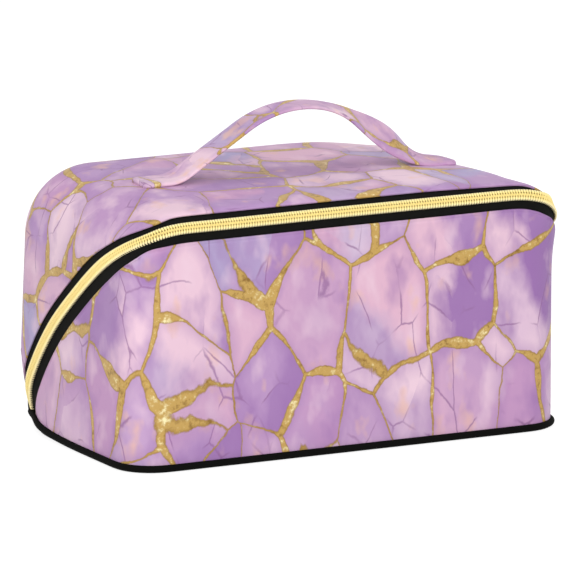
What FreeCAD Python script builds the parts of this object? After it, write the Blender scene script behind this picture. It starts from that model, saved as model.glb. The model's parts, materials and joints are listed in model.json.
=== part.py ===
import FreeCAD, Part

import math
import os

from FreeCAD import Vector

# A soft makeup case that opens flat: a padded body of printed leather-like sheet, cut in two by a
# zip that climbs both ends and crosses the front. The lid turns about the lower back edge.
# Millimetres. +X runs along the length, to the right seen from the front. +Y points to the back
# and +Z up. The origin lies on the ground under the middle of the body.

# Body
body_length = 250.0
body_depth = 160.0
body_height = 136.5
front_corner_radius = 23.0
back_corner_radius = 40.0
shoulder_radius = 38.0
brow_radius = 14.0
brow_crown_radius = 130.0
brow_slope = 14.0
heel_radius = 38.0

# Layers of the walls, from the outside in
skin_thickness = 1.2
foam_thickness = 2.8
lining_thickness = 0.6

# Zip, measured square to its centre line
front_zip_height = 127.3
zip_bulge = 6.0
chain_width = 6.0
chain_gap = 1.0
chain_proud = 1.0
tape_thickness = 0.7
tape_half_width = 13.0
lower_tape_shown = 7.0
upper_tape_shown = 6.0
padding_setback = 2.0
binding_width = 0.8

# Base panel, its piping and its stiffening board
seam_front_height = 1.8
seam_heel_height = 4.0
heel_seam_shift = 6.0
piping_height = 2.0
piping_proud = 1.5
piping_gap = 1.0
board_thickness = 2.0
board_margin = 6.0

# Handle
handle_width = 22.0
handle_thickness = 2.6
handle_cover_thickness = 0.8
handle_length = 180.0
handle_foot_length = 14.0
handle_forward = 15.0
handle_slope = 32.0
handle_foot_radius = 22.0
handle_crown_radius = 60.0
patch_thickness = 0.8
patch_margin = 5.0

# Slider and pull
slider_length = 10.0
slider_width = 9.0
slider_plate = 1.1
slider_flange = 0.9
slider_post_length = 3.5
crown_length = 7.0
crown_width = 2.0
crown_bar = 1.05
pull_pin_radius = 0.65
pull_arm_width = 1.2
pull_arm_length = 5.5
pull_tab_length = 16.0
pull_tab_width = 8.0

# Brush holder in the lid
panel_thickness = 1.5
panel_end_gap = 5.0
panel_drop = 2.0
panel_above_heel = 2.0
band_end_gap = 28.0
band_width = 18.0
band_sheet = 0.8
loop_count = 3
loop_inner_width = 8.0
loop_inner_depth = 6.0
loop_spacing = 11.0
flap_end_gap = 4.0
flap_thickness = 1.2
flap_bead_radius = 0.8
flap_lip_length = 12.0
root_thickness = 1.2
snap_radius = 5.0
snap_cap_thickness = 1.2
snap_ball_radius = 2.0
snap_ball_height = 1.0
snap_base_thickness = 0.4
snap_post_radius = 1.4

# Dividers in the lower half
divider_thickness = 4.0
divider_offset = 42.0
divider_travel = 18.0
divider_below_zip = 14.0
loop_strip_width = 25.0
loop_strip_thickness = 1.0
hook_strip_thickness = 0.9
hook_strip_width = 6.0
front_loop_height = 34.0
floor_loop_setback = 40.0

# Clearances
running_gap = 0.35
post_gap = 0.2
hook_gap = 0.2
snap_gap = 0.3
chain_end_gap = 1.5
welt_gap = 0.3

# Derived places
lining_depth = skin_thickness + foam_thickness
inner_depth = lining_depth + lining_thickness
front = -body_depth / 2
back = body_depth / 2
right_end = body_length / 2
heel_y = back - heel_radius
far = 3 * max(body_length, body_depth, body_height)
same_place = 1e-6

# The hinge line lies on the outside of the heel, half way round its bend
hinge_y = heel_y + heel_radius * math.sin(math.radians(45))
hinge_z = heel_radius - heel_radius * math.cos(math.radians(45))

# The brow rounds the front top edge: a small arc up from the wall, then a wide one up to the top
brow_angle = math.radians(brow_slope)
brow_y = front + brow_radius
brow_z = body_height - brow_crown_radius * (1 - math.cos(brow_angle)) - brow_radius * math.cos(brow_angle)
crown_y = brow_y + (brow_crown_radius - brow_radius) * math.sin(brow_angle)
crown_z = body_height - brow_crown_radius

# The zip follows an arc about an X axis, from the hinge line to the front wall
front_rise = max(0.0, front_zip_height - brow_z)
front_zip_y = brow_y - math.sqrt(brow_radius**2 - front_rise**2)
chord = Vector(0, front_zip_y - hinge_y, front_zip_height - hinge_z)
zip_radius = (chord.Length**2 / 4 + zip_bulge**2) / (2 * zip_bulge)
chord_normal = Vector(0, chord.z, -chord.y).normalize()
chord_middle = Vector(0, hinge_y, hinge_z) + chord * 0.5
zip_centre = chord_middle - chord_normal * (zip_radius - zip_bulge)

# At rest the slider is on the flat of the right end, clear of the back corner's bend
slider_y = back - back_corner_radius - (slider_length + slider_width) / 2
slider_run = slider_y - zip_centre.y
slider_rise = math.sqrt(zip_radius**2 - slider_run**2)
slider_z = zip_centre.z + slider_rise


def save(node, shape):
    """Write one sub-part, as one solid or a compound of its solids."""
    solids = shape.removeSplitter().Solids
    part = solids[0] if len(solids) == 1 else Part.makeCompound(solids)
    part.exportStep("parts/" + node + ".step")


def box(x0, x1, y0, y1, z0, z1):
    return Part.makeBox(x1 - x0, y1 - y0, z1 - z0, Vector(x0, y0, z0))


def rod(start, end, radius):
    return Part.makeCylinder(radius, (end - start).Length, start, end - start)


def side_prism(outline, half_length):
    """A solid of one outline in the side plane, along X on both sides of the middle."""
    face = Part.Face(Part.Wire(outline))
    face.translate(Vector(-half_length, 0, 0))
    return face.extrude(Vector(2 * half_length, 0, 0))


def polyline(points):
    return [Part.makeLine(a, b) for a, b in zip(points, points[1:])]


def arc_edge(centre, radius, start_angle, end_angle):
    """An arc in the side plane; angles run from +Y towards +Z."""
    angles = [start_angle, (start_angle + end_angle) / 2, end_angle]
    radians = [math.radians(a) for a in angles]
    points = [centre + Vector(0, math.cos(a), math.sin(a)) * radius for a in radians]
    return Part.Arc(*points).toShape()


def ribbon(start, heading, segments, thickness):
    """A face of even thickness along lines and arcs, drawn in the X-Z plane.

    A segment is ("line", length) or ("arc", radius, turn), with turns to the left positive.
    """
    left, right = [], []
    point = Vector(start)
    angle = math.radians(heading)
    half = thickness / 2

    def beside(p, a, side):
        return p + Vector(-math.sin(a), 0, math.cos(a)) * side

    def rotated(v, a):
        return Vector(v.x * math.cos(a) - v.z * math.sin(a), 0,
                      v.x * math.sin(a) + v.z * math.cos(a))

    def round_centre(p, centre, turn):
        points = [centre + rotated(p - centre, turn * f) for f in (0, 0.5, 1)]
        return Part.Arc(*points).toShape()

    for segment in segments:
        if segment[0] == "line":
            end = point + Vector(math.cos(angle), 0, math.sin(angle)) * segment[1]
            for side, edges in ((half, left), (-half, right)):
                edges.append(Part.makeLine(beside(point, angle, side), beside(end, angle, side)))
            point = end
        else:
            turn = math.radians(segment[2])
            bend = segment[1] * (1 if turn > 0 else -1)
            centre = beside(point, angle, bend)
            for side, edges in ((half, left), (-half, right)):
                edges.append(round_centre(beside(point, angle, side), centre, turn))
            point = centre + rotated(point - centre, turn)
            angle = angle + turn
    heading = math.radians(heading)
    caps = [
        Part.makeLine(beside(Vector(start), heading, half), beside(Vector(start), heading, -half)),
        Part.makeLine(beside(point, angle, half), beside(point, angle, -half)),
    ]
    return Part.Face(Part.Wire(Part.__sortEdges__(left + right + caps)))


def upright_edges(block, y):
    """The vertical edges of a block on the face at one distance along Y."""
    def on_face(edge):
        return all(abs(v.Y - y) < same_place for v in edge.Vertexes)

    upright = [e for e in block.Edges if abs(e.Vertexes[0].Z - e.Vertexes[1].Z) > same_place]
    return [e for e in upright if on_face(e)]


def brow_solid(inset):
    """All that lies behind the front wall and under the brow."""
    small = Vector(0, brow_y, brow_z)
    wide = Vector(0, crown_y, crown_z)
    turn = 90 + brow_slope
    outline = [
        arc_edge(small, brow_radius - inset, 180, turn),
        arc_edge(wide, brow_crown_radius - inset, turn, 90),
    ]
    outline += polyline([
        Vector(0, crown_y, body_height - inset),
        Vector(0, crown_y, far),
        Vector(0, far, far),
        Vector(0, far, -far),
        Vector(0, front + inset, -far),
        Vector(0, front + inset, brow_z),
    ])
    return side_prism(outline, far)


def plan_solid(inset):
    """The body with its round corners, its shoulders and its brow, without the heel's bend."""
    half_x = right_end - inset
    top = body_height - inset
    low = -body_height / 4
    open_front = front - body_depth
    walls = box(-half_x, half_x, front + inset, far, low, 2 * body_height)
    walls = walls.makeFillet(front_corner_radius - inset, upright_edges(walls, front + inset))
    crown = box(-half_x, half_x, open_front, back - inset, low, top)
    crown = crown.makeFillet(back_corner_radius - inset, upright_edges(crown, back - inset))
    rim = [e for e in crown.Edges if all(abs(v.Z - top) < same_place for v in e.Vertexes)]
    rim = [e for e in rim if any(abs(v.Y - open_front) > same_place for v in e.Vertexes)]
    crown = crown.makeFillet(shoulder_radius - inset, rim)
    return walls.common(crown).common(brow_solid(inset))


def heel_solid(inset):
    """All that lies above the floor and inside the heel's bend; open above the bend."""
    centre = Vector(0, heel_y, heel_radius)
    radius = heel_radius - inset
    outline = [arc_edge(centre, radius, -90, 0)] + polyline([
        Vector(0, heel_y + radius, heel_radius),
        Vector(0, far, heel_radius),
        Vector(0, far, far),
        Vector(0, -far, far),
        Vector(0, -far, inset),
        Vector(0, heel_y, inset),
    ])
    return side_prism(outline, far)


def seam_solid(lift):
    """All that lies above the seam between the printed walls and the black base panel."""
    radius = heel_radius - lift
    centre = Vector(0, heel_y - heel_seam_shift, seam_heel_height + heel_radius)
    slope = (seam_heel_height - seam_front_height) / (centre.y - front)
    foot = Vector(0, centre.y, centre.z - radius)
    outline = [arc_edge(centre, radius, -90, 0)] + polyline([
        Vector(0, centre.y + radius, centre.z),
        Vector(0, centre.y + radius, centre.z + lift + piping_height),
        Vector(0, far, centre.z + lift + piping_height),
        Vector(0, far, far),
        Vector(0, -far, far),
        Vector(0, -far, foot.z - slope * (far + centre.y)),
        foot,
    ])
    return side_prism(outline, far)


def body(inset):
    return plan_solid(inset).common(heel_solid(inset))


def layer(outer, inner):
    return body(outer).cut(body(inner))


def floor_layer(outer, inner):
    """The part of a layer that lies along the floor and the heel, without the upright walls."""
    return plan_solid(outer).common(heel_solid(outer).cut(heel_solid(inner)))


def inside_zip(offset):
    """All on the near side of the zip's centre line, moved out by the offset."""
    start = Vector(-far, zip_centre.y, zip_centre.z)
    return Part.makeCylinder(zip_radius + offset, 2 * far, start, Vector(1, 0, 0))


def zip_ring(inner, outer):
    return inside_zip(outer).cut(inside_zip(inner))


def slider_frame():
    """Placement of the slider: x along its travel, y out of the end wall, z towards the lid."""
    origin = Vector(right_end, slider_y, slider_z)
    outward = Vector(0, slider_run, slider_rise).normalize()
    along = Vector(0, -outward.z, outward.y)
    matrix = FreeCAD.Matrix(
        along.x, 1, outward.x, origin.x,
        along.y, 0, outward.y, origin.y,
        along.z, 0, outward.z, origin.z,
        0, 0, 0, 1)
    return FreeCAD.Placement(matrix)


def placed(shape, placement):
    shape = shape.copy()
    shape.Placement = placement.multiply(shape.Placement)
    return shape


def make_shells():
    """Printed walls, black base and heel panels, the spine between them, and the piping."""
    skin = layer(0, skin_thickness)
    walls = skin.common(seam_solid(0))
    black = skin.cut(seam_solid(0))
    save("tub_shell", walls.common(inside_zip(-lower_tape_shown)))
    save("lid_shell", walls.cut(inside_zip(upper_tape_shown)))
    save("base_panel", black.common(inside_zip(-lower_tape_shown)))
    save("heel_panel", black.cut(inside_zip(upper_tape_shown)))
    save("spine_hinge", black.common(zip_ring(-lower_tape_shown, upper_tape_shown)))
    band = seam_solid(-piping_height / 2).cut(seam_solid(piping_height / 2))
    piping = plan_solid(-piping_proud).cut(plan_solid(0)).common(band).common(heel_solid(0))
    save("base_piping", piping.common(inside_zip(-piping_gap)))
    save("lid_piping", piping.cut(inside_zip(piping_gap)))


def make_zip():
    """Two tapes under the walls' edges, and a row of teeth on each."""
    above_seam = seam_solid(0)
    tape = layer(skin_thickness, skin_thickness + tape_thickness).common(above_seam)
    lower_tape = tape.common(zip_ring(-tape_half_width, -chain_gap / 2))
    upper_tape = tape.common(zip_ring(chain_gap / 2, tape_half_width))
    save("zipper_tape_lower", lower_tape)
    save("zipper_tape_upper", upper_tape)
    teeth = layer(-chain_proud, skin_thickness)
    teeth = teeth.common(seam_solid(piping_height / 2 + welt_gap))
    save("zipper_teeth_lower", teeth.common(zip_ring(-chain_width / 2, -chain_gap / 2)))
    upper_teeth = teeth.common(zip_ring(chain_gap / 2, chain_width / 2))
    # below the slider's rest place the upper row stops, so that the lid can leave the slider
    reach = 2 * slider_z
    stop = box(-reach, slider_length / 2 + chain_end_gap, -reach / 4, reach / 4,
               -chain_width, chain_width)
    save("zipper_teeth_upper", upper_teeth.cut(placed(stop, slider_frame())))
    return lower_tape, upper_tape


def handle_ribbon(thickness, end_gap):
    """Side face of the handle: two flat feet, two sloping legs and a round crown."""
    half_span = handle_length / 2 - handle_foot_length
    bend = math.radians(handle_slope)
    bends = (handle_foot_radius + handle_crown_radius) * math.sin(bend)
    leg = (half_span - bends) / math.cos(bend)
    foot = handle_foot_length - end_gap
    start = Vector(end_gap - handle_length / 2, 0, body_height + handle_thickness / 2)
    return ribbon(start, 0, [
        ("line", foot),
        ("arc", handle_foot_radius, handle_slope),
        ("line", leg),
        ("arc", handle_crown_radius, -2 * handle_slope),
        ("line", leg),
        ("arc", handle_foot_radius, handle_slope),
        ("line", foot),
    ], thickness)


def make_handle():
    """Strap handle: a sewn cover round a flat core, and a patch inside the lid under each foot."""
    def strap(thickness, width, end_gap):
        face = handle_ribbon(thickness, end_gap)
        face.translate(Vector(0, -handle_forward - width / 2, 0))
        return face.extrude(Vector(0, width, 0))

    wall = 2 * handle_cover_thickness
    core = strap(handle_thickness - wall, handle_width - wall, handle_cover_thickness)
    save("handle_core", core)
    save("handle_cover", strap(handle_thickness, handle_width, 0).cut(core))
    patches = []
    outer_end = handle_length / 2 + patch_margin
    inner_end = handle_length / 2 - handle_foot_length - patch_margin
    half_width = handle_width / 2 + patch_margin
    under_skin = layer(skin_thickness, skin_thickness + patch_thickness)
    for name, side in (("left", -1), ("right", 1)):
        ends = sorted((side * inner_end, side * outer_end))
        place = box(ends[0], ends[1], -handle_forward - half_width, half_width - handle_forward,
                    body_height - shoulder_radius, body_height)
        patch = under_skin.common(place)
        save("handle_patch_" + name, patch)
        patches.append(patch)
    return patches


def make_padding(lower_tape, upper_tape, patches):
    """Board, foam, lining and edge binding of both halves, and the lining of the spine."""
    half_x = right_end - board_margin
    board_z = skin_thickness + board_thickness
    board = plan_solid(board_margin).common(
        box(-half_x, half_x, front, heel_y, skin_thickness, board_z))
    save("base_board", board)
    lower_edge = lower_tape_shown + padding_setback
    upper_edge = upper_tape_shown + padding_setback
    foam = layer(skin_thickness, lining_depth)
    save("tub_foam", foam.common(inside_zip(-lower_edge)).cut(lower_tape).cut(board))
    save("lid_foam", foam.cut(inside_zip(upper_edge)).cut(upper_tape).cut(patches[0]).cut(patches[1]))
    lining = layer(lining_depth, inner_depth)
    save("tub_lining", lining.common(inside_zip(-lower_edge)))
    save("lid_lining", lining.cut(inside_zip(upper_edge)))
    edge = layer(skin_thickness + tape_thickness, inner_depth)
    save("tub_binding", edge.common(zip_ring(-lower_edge, binding_width - lower_edge)))
    save("lid_binding", edge.common(zip_ring(upper_edge - binding_width, upper_edge)))
    spine = floor_layer(skin_thickness, skin_thickness + lining_thickness)
    spine = spine.cut(lower_tape).cut(upper_tape)
    save("spine_lining", spine.common(zip_ring(-lower_edge, upper_edge)))


def make_slider():
    """Slider round both tapes with a crown, and a pull whose pin lies under the crown."""
    frame = slider_frame()
    half = slider_length / 2
    side = slider_width / 2
    face_in = chain_proud + running_gap
    face_out = face_in + slider_plate
    back_out = -skin_thickness - tape_thickness - running_gap
    back_in = back_out - slider_plate
    lip = running_gap - skin_thickness
    slider = box(-half, half, face_in, face_out, -side, side)
    slider = slider.fuse(box(-half, half, back_in, back_out, -side, side))
    for z in (-side, side - slider_flange):
        slider = slider.fuse(box(-half, half, lip, face_in, z, z + slider_flange))
    post = chain_gap / 2 - post_gap
    slider = slider.fuse(box(-half, slider_post_length - half, back_out, face_in, -post, post))
    save("slider_body", placed(slider, frame))

    opening = 2 * (pull_pin_radius + running_gap)
    reach = crown_length / 2
    wide = crown_width / 2
    crown = box(-reach, reach, face_out, face_out + opening + crown_bar, -wide, wide)
    hole = reach - crown_bar
    crown = crown.cut(box(-hole, hole, face_out, face_out + opening, -wide, wide))
    save("slider_crown", placed(crown, frame))

    axis = face_out + opening / 2
    arm_in = wide + 2 * running_gap
    arm_out = arm_in + pull_arm_width
    pull = rod(Vector(0, axis, -arm_out), Vector(0, axis, arm_out), pull_pin_radius)
    low, high = axis - pull_pin_radius, axis + pull_pin_radius
    for z in (-arm_out, arm_in):
        pull = pull.fuse(box(-pull_arm_length - 1, 0, low, high, z, z + pull_arm_width))
    tip = pull_arm_length + pull_tab_length - pull_tab_width / 2
    across = pull_tab_width / 2
    tab = box(-tip, -pull_arm_length, low, high, -across, across)
    tab = tab.fuse(rod(Vector(-tip, low, 0), Vector(-tip, high, 0), across))
    save("pull_tab", placed(pull.fuse(tab), frame))


def make_brush_holder():
    """Panel on the lid's back lining, bands of elastic loops, and a flap with a snap."""
    face = back - inner_depth - panel_thickness
    top = body_height - shoulder_radius - panel_drop
    bottom = heel_radius + panel_above_heel
    half_panel = right_end - back_corner_radius - panel_end_gap
    half_flap = half_panel - flap_end_gap
    band_offset = half_flap - band_end_gap
    panel = box(-half_panel, half_panel, face, face + panel_thickness, bottom, top)
    save("brush_panel", panel)

    # flap hangs from a bead under its root, clear of the loops, with its lip close to the panel
    band_depth = loop_inner_depth + band_sheet
    flap_y = face - band_depth - running_gap - flap_thickness / 2
    axis_z = top - root_thickness - running_gap - flap_bead_radius
    lip_y = face - snap_base_thickness - snap_ball_height - snap_gap - flap_thickness / 2
    step = lip_y - flap_y
    band_top = axis_z - flap_bead_radius
    band_bottom = band_top - loop_count * loop_spacing
    straight = axis_z - band_bottom + running_gap
    slant = step * math.sqrt(2)
    flap = ribbon(Vector(-flap_y, 0, axis_z), -90, [
        ("line", straight),
        ("arc", flap_thickness, -45),
        ("line", slant - 2 * flap_thickness * math.tan(math.radians(22.5))),
        ("arc", flap_thickness, 45),
        ("line", flap_lip_length),
    ], flap_thickness)
    flap.rotate(Vector(0, 0, 0), Vector(0, 0, 1), -90)
    flap.translate(Vector(-half_flap, 0, 0))
    flap = flap.extrude(Vector(2 * half_flap, 0, 0))
    bead_end = Vector(half_flap, flap_y, axis_z)
    flap = flap.fuse(rod(Vector(-half_flap, flap_y, axis_z), bead_end, flap_bead_radius))

    root = box(-half_flap, half_flap, flap_y - flap_thickness / 2, face,
               top - root_thickness, top)
    save("flap_root", root)

    for name, x in (("left", -band_offset), ("right", band_offset)):
        x0, x1 = x - band_width / 2, x + band_width / 2
        band = box(x0, x1, face - band_sheet, face, band_bottom, band_top)
        holes = []
        for i in range(loop_count):
            z = band_bottom + (i + 0.5) * loop_spacing
            for half, deep, group in ((loop_inner_width / 2 + band_sheet, band_depth, "outer"),
                                      (loop_inner_width / 2, loop_inner_depth, "inner")):
                flat = face - (deep - half)
                arch = box(x0, x1, flat, face, z - half, z + half)
                tunnel = rod(Vector(x0, flat, z), Vector(x1, flat, z), half)
                arch = arch.fuse(tunnel.common(box(x0, x1, flat - half, face, z - half, z + half)))
                if group == "outer":
                    band = band.fuse(arch)
                else:
                    holes.append(arch)
        for hole in holes:
            band = band.cut(hole)
        save("brush_band_" + name, band)

    # snap: a stud on the panel, a socket inside the lip, a cap outside with its post through it
    snap_z = axis_z - straight - step - flap_lip_length / 2
    centre = Vector(0, 0, snap_z)

    def disc(y0, y1, radius):
        return rod(centre + Vector(0, y0, 0), centre + Vector(0, y1, 0), radius)

    lip_in = lip_y + flap_thickness / 2
    lip_out = lip_y - flap_thickness / 2
    stud_base = face - snap_base_thickness
    stud_top = stud_base - snap_ball_height
    stud = disc(face, stud_base, snap_radius - snap_gap)
    stud = stud.fuse(disc(stud_base, stud_top, snap_ball_radius))
    save("snap_stud", stud)
    socket = disc(lip_in, stud_base - snap_gap, snap_radius)
    socket = socket.cut(disc(lip_in, stud_base, snap_ball_radius + snap_gap))
    save("snap_socket", socket)
    post = disc(lip_out, lip_in, snap_post_radius)
    save("snap_cap", disc(lip_out - snap_cap_thickness, lip_out, snap_radius).fuse(post))
    save("brush_flap", flap.cut(post))


def make_dividers():
    """Two upright dividers held by hook strips on loop strips of the lower half's lining."""
    reach = divider_offset + divider_travel + hook_strip_width
    floor_z = inner_depth
    front_y = front + inner_depth
    floor_y = front + floor_loop_setback
    front_z = front_loop_height
    save("loop_strip_front", box(-reach, reach, front_y, front_y + loop_strip_thickness,
                                 front_z, front_z + loop_strip_width))
    save("loop_strip_floor", box(-reach, reach, floor_y, floor_y + loop_strip_width,
                                 floor_z, floor_z + loop_strip_thickness))
    hook_inset = inner_depth + loop_strip_thickness + hook_gap
    inset = hook_inset + hook_strip_thickness
    outline = body(inset).common(inside_zip(-divider_below_zip))
    half = divider_thickness / 2
    hook = hook_strip_width / 2
    hook_y = front + hook_inset
    for name, x in (("left", -divider_offset), ("right", divider_offset)):
        save("divider_" + name, outline.common(box(x - half, x + half, -far, far, -far, far)))
        hooks = box(x - hook, x + hook, hook_y, hook_y + hook_strip_thickness,
                    front_z, front_z + loop_strip_width)
        hooks = hooks.fuse(box(x - hook, x + hook, floor_y, floor_y + loop_strip_width,
                               hook_inset, inset))
        save("divider_hooks_" + name, hooks)


os.makedirs("parts", exist_ok=True)
make_shells()
tapes = make_zip()
foot_patches = make_handle()
make_padding(tapes[0], tapes[1], foot_patches)
make_slider()
make_brush_holder()
make_dividers()
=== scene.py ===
import json
import math

import bpy
import numpy as np
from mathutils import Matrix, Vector


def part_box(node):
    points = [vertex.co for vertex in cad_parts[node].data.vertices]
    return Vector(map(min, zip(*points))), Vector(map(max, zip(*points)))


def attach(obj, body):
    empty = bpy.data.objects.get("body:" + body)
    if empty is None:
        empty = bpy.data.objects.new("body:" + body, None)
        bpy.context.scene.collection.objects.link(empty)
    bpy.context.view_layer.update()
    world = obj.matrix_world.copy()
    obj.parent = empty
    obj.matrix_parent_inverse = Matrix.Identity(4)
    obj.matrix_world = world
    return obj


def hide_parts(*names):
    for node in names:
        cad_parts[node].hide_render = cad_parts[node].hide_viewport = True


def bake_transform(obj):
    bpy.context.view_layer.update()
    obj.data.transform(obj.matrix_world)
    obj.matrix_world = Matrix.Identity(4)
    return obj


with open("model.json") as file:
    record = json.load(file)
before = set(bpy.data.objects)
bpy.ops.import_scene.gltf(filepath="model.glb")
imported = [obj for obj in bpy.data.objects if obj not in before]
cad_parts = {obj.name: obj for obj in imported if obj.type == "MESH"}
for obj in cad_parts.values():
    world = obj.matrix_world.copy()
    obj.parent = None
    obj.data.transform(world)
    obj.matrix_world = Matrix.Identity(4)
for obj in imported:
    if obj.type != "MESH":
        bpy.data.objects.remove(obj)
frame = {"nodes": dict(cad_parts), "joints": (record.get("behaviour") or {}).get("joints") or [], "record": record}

# A soft makeup case in printed leather-like sheet with a gold coil zip. Metres, in the frame's axes:
# +X along the length, +Y to the back, +Z up. Most pieces are grids laid on one formula of the body.

SCENE = bpy.context.scene
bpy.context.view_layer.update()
JOINTS = {j["name"]: j for j in frame["joints"]}

# Body, from the frame, with the roundings of its edges and, last, how softly its faces meet
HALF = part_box("tub_shell")[1].x
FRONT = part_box("tub_shell")[0].y
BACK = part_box("lid_shell")[1].y
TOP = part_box("lid_shell")[1].z
FRONT_CORNER = 0.023
BACK_CORNER = 0.040
SHOULDER = 0.038
BROW = 0.014
BROW_CROWN = 0.130
BROW_SLOPE = math.radians(14)
HEEL = 0.048
SOFTNESS = 0.0016
LEFT_SOFTNESS = 0.0080
RIGHT_SOFTNESS = 0.0032

# The soft case against its plain solid: bulged ends, a drooping shoulder and a zip that stands proud
END_BULGE = 0.003
CROWN_RISE = 0.0017
RIGHT_DROP = 0.0025
DROOP = 0.020
LOW_CORNER = 0.017
ZIP_PROUD = 0.0008
CORNER_PROUD = 0.0030
RIGHT_BULGE = 0.0008
LID_OVER = 0.0015
LID_ROLL = 0.0013
TUB_UNDER = 0.002

# Where those forms lie: a span runs from none to all of a form, an end from all of it to none,
# and a place is the middle and the width of a hump
LEFT_END = (-0.08, 0.0)
RIGHT_SPAN = (0.04, 0.10)
BULGE_PLACE = (0.015, 0.05)
BULGE_END = (0.06, 0.11)
CROWN_SPAN = (-0.06, 0.0)
CROWN_END = (0.02, 0.08)
DROP_SPAN = (-0.081, -0.064)
DROOP_SPAN = (-0.05, 0.03)
LOW_CORNER_END = (0.0, 0.045)
SWELL_PLACE = (FRONT + 0.014, 0.02)
SWELL_WIDTHS = (0.014, 0.009)
SOFT_PLACE_X = (HALF - 0.008, 0.014)
SOFT_PLACE_Y = (FRONT + 0.010, 0.020)
PROUD_PLACE = (0.0, 0.009)
PROUD_END = (0.110, 0.122)
OVER_PLACE = (0.012, 0.018)
UNDER_PLACE = (-0.010, 0.012)
LEAN_SPAN_X = (0.75 * HALF, 0.96 * HALF)
LEAN_SPAN_Y = (-0.075, -0.045)
ROLL_PLACE = (0.011, 0.006)
ROLL_END = (-0.072, -0.045)

# Zip: an arc about an X axis, with the shells' edges on both sides of its centre line
ZIP_Y, ZIP_Z = JOINTS["slider_travel"]["pos_m"][1:]
SLIDER_AT = Vector(JOINTS["pull_swing"]["pos_m"])
ZIP_RADIUS = math.hypot(SLIDER_AT.y - ZIP_Y, SLIDER_AT.z - ZIP_Z)
LOWER_EDGE = 0.0088
UPPER_EDGE = 0.0080
COIL_HALF = 0.0029
COIL_PITCH = 0.0015
CORD_HALF = 0.0022
CORD_RISE = 0.0006
TAPE_DEPTH = 0.0009
TAPE_STEP = 0.0003
TAPE_GAP = 0.0005
TAPE_UNDER = 0.0035
ZIP_DIP = 0.0178
ZIP_DIP_LENGTH = 0.045
CORNER_DIP = 0.0018
FRONT_DIP = 0.0007
FRONT_DIP_SPAN = (0.12, 0.165)
RIGHT_CORNER_DIP = 0.006
RIGHT_DIP_AT = 0.165
RIGHT_DIP_WIDTHS = (0.027, 0.02)

# Turned edge of the printed sheet beside the zip: distances towards the zip, and heights
SKIN_LIP = ((-0.0012, 0.0), (-0.0005, -0.00012), (-0.0001, -0.0004), (0.0, -0.0008), (-0.0005, -0.0010))

# Seam between the printed walls and the black base
SEAM_FRONT = 0.0024
SEAM_LOW = 0.0068
SEAM_HIGH = 0.038
SEAM_CENTRE_Y = 0.044
SEAM_TURN = 0.019
SEAM_SQUARE = 2.8
BASE_PROUD = 0.0008
BASE_PROUD_LENGTH = 0.008
BASE_WELT = 0.0019
LID_WELT = 0.0014

# Hinge of the lid, and its turn about the zip's axis
HINGE = Vector(JOINTS["lid_swing"]["pos_m"])
HINGE_TURN = math.atan2(HINGE.z - ZIP_Z, HINGE.y - ZIP_Y)

# Padding and lining under the skin, and the padded dividers
INNER = 0.0046
HEM_SETBACK = 0.0012
SPINE_LAP = 0.4
PAD_REACH = 0.2
PAD_GAP = 0.0022
PAD_BELOW_ZIP = 0.014
PAD_CORNER = 0.008
PAD_SWELL = 0.0008
RIM_SHARE = 0.75
RIM_HALF = 0.0008

ALONG_X = np.array([1.0, 0, 0])


def grid_faces(rows, columns, closed=False):
    """Quads of a grid of points, row by row; a closed grid joins its last column to its first."""
    faces = []
    for r in range(rows - 1):
        for c in range(columns if closed else columns - 1):
            d = (c + 1) % columns
            faces.append((r * columns + c, r * columns + d, (r + 1) * columns + d, (r + 1) * columns + c))
    return faces


def tube_faces(rows, columns, flip=False):
    """Quads of a closed grid with caps on its first and last rows; flip turns the caps over."""
    first = tuple(range(columns))
    last = tuple((rows - 1) * columns + c for c in first)
    caps = [first[::-1], last] if flip else [first, last[::-1]]
    return grid_faces(rows, columns, True) + caps


def add_mesh(name, points, faces, material, body=None):
    """A smooth mesh piece, riding on a body or, for the body hinge, with its place baked into its points."""
    mesh = bpy.data.meshes.new(name)
    mesh.from_pydata([tuple(p) for p in np.asarray(points, float)], [], faces)
    mesh.update()
    for polygon in mesh.polygons:
        polygon.use_smooth = True
    mesh.materials.append(material)
    piece = bpy.data.objects.new(name, mesh)
    SCENE.collection.objects.link(piece)
    if body == "hinge":
        hinged(piece)
    elif body:
        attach(piece, body)
    return piece


def add_grid(name, rows, material, body):
    """A mesh piece of rows of points."""
    return add_mesh(name, np.concatenate(rows), grid_faces(len(rows), len(rows[0])), material, body)


def ease(value, low, high):
    """A smooth step from 0 at the low value to 1 at the high one."""
    share = np.clip((value - low) / (high - low), 0, 1)
    return share * share * (3 - 2 * share)


def fade(value, low, high):
    """A smooth step from 1 at the low value to 0 at the high one."""
    return 1 - ease(value, low, high)


def hump(value, middle, width):
    """A smooth hump of height 1."""
    return np.exp(-(((value - middle) / width) ** 2))


def hinged(piece):
    """Keeps the piece where it is made, with its place baked into its points."""
    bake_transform(piece)


def unit(vectors):
    """The vectors at length 1."""
    return vectors / np.linalg.norm(vectors, axis=1, keepdims=True)


def tangents(line):
    """Directions along a line of points."""
    return unit(np.gradient(line, axis=0))


def line_of(x, y, z):
    """A line of points from its coordinates, each one value or one for every point."""
    return np.stack(np.broadcast_arrays(x, y, z), 1)


def full_turn(count):
    """Angles spread evenly round a full turn."""
    return np.linspace(0, 2 * math.pi, count, endpoint=False)


def oval(count, wide, high, rise=0.0):
    """An oval profile of half a width and half a height, with its middle at a rise."""
    return [(wide * math.cos(a), high * math.sin(a) + rise) for a in full_turn(count)]


def rounded(a, b, radius):
    """Distance to the rounded corner of two planes, from the distances to both."""
    a, b = a + radius, b + radius
    return np.hypot(np.maximum(a, 0), np.maximum(b, 0)) + np.minimum(np.maximum(a, b), 0) - radius


def soft_max(a, b, softness=SOFTNESS):
    """The larger of two distances, rounded off where they meet."""
    return 0.5 * (a + b + np.sqrt((a - b) ** 2 + softness**2))


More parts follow.
